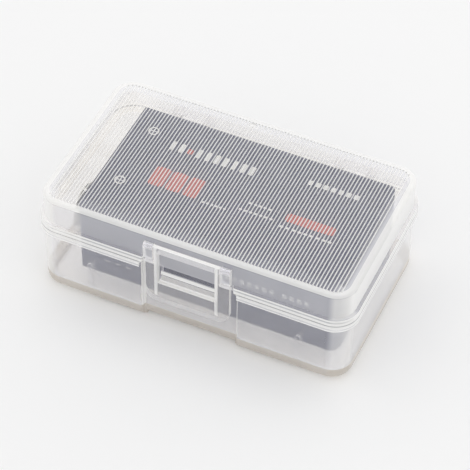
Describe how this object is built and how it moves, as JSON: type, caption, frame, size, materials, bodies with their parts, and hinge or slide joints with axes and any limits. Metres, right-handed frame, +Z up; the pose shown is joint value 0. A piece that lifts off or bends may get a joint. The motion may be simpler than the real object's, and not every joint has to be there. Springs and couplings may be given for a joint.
{
  "type": "battery storage case",
  "caption": "Small clear latched case with a fluted hinged lid, holding a flat rectangular 9 volt battery on cradle ribs.",
  "frame": {"origin": "middle of the whole part's box, on the surface that the tray stands on", "axes": "+X along the case, with the battery's snaps at -X; -Y towards the latch; +Z up through the lid"},
  "size_m": [0.0562, 0.0366, 0.0199],
  "materials": {
    "tray": "clear milky polypropylene, smooth",
    "lid": "clear milky polypropylene, fluted on top",
    "latch": "clear polypropylene, smooth",
    "battery_body": "dark printed sleeve, satin",
    "snap_plate": "black insulating plate",
    "snap_metal": "nickel-plated pressed steel"
  },
  "bodies": {
    "case_tray": {"tray": "tray", "battery_body": "battery_body", "snap_plate": "snap_plate", "positive_snap": "snap_metal", "negative_snap": "snap_metal"},
    "case_lid": {"lid": "lid"},
    "latch_plate": {"latch": "latch"}
  },
  "joints": [
    {"name": "lid_hinge", "type": "hinge", "parent": "case_tray", "child": "case_lid", "pos_m": [0, 0.01705, 0.0136], "axis": [-1, 0, 0], "range_deg": [0, 180]},
    {"name": "latch_hinge", "type": "hinge", "parent": "case_lid", "child": "latch_plate", "pos_m": [0, -0.01772, 0.01816], "axis": [-1, 0, 0], "range_deg": [0, 100]}
  ]
}
